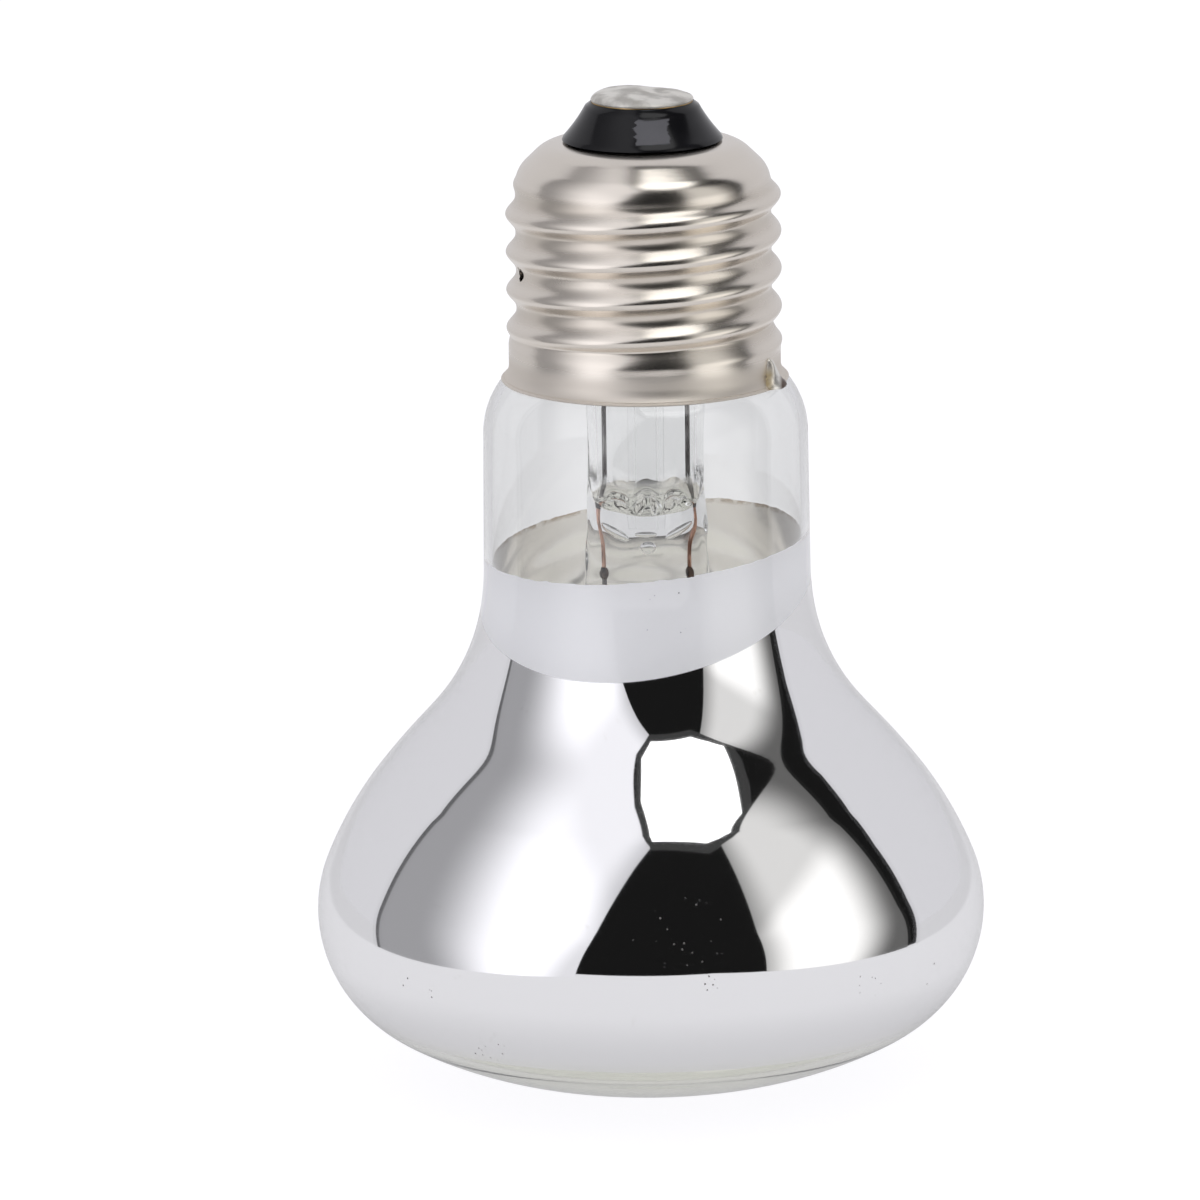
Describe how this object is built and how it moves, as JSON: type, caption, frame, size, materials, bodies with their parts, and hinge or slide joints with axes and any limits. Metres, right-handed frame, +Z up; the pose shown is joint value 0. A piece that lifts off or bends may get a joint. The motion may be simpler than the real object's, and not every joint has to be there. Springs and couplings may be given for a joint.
{
  "type": "reflector heat bulb",
  "caption": "Reflector heat bulb with a mirror-coated bowl, a clear glass neck that shows the stem and leads, and a rolled E27 screw cap, standing on its face.",
  "frame": {"origin": "middle of the small flat on the face, at the bottom of the bulb", "axes": "+Z up along the bulb's axis from the face to the cap, -Y towards the viewer of the picture, +X to the right"},
  "size_m": [0.0638, 0.0638, 0.0954],
  "materials": {
    "bulb_glass": "clear blown glass",
    "mirror_film": "vapour-deposited mirror",
    "stem_glass": "clear pressed glass",
    "cap_metal": "satin nickel plate",
    "insulator_glass": "glossy black glass",
    "contact_brass": "brushed brass",
    "solder": "dull solder",
    "cement": "matte cement",
    "lead_metal": "drawn wire",
    "seal_copper": "copper-clad wire",
    "filament_metal": "dark coiled wire"
  },
  "bodies": {
    "root": {"glass_envelope": "bulb_glass", "reflector_film": "mirror_film", "cap_shell": "cap_metal", "cap_insulator": "insulator_glass", "cap_cement": "cement", "centre_contact": "contact_brass", "contact_solder": "solder", "side_solder": "solder", "contact_lead": "lead_metal", "side_lead": "lead_metal", "stem_tube": "stem_glass", "exhaust_tube": "stem_glass", "support_rod": "stem_glass", "filament": "filament_metal", "seal_wire_left": "seal_copper", "seal_wire_right": "seal_copper", "inner_lead_left": "lead_metal", "inner_lead_right": "lead_metal", "support_wire_1": "lead_metal", "support_wire_2": "lead_metal"}
  },
  "joints": []
}
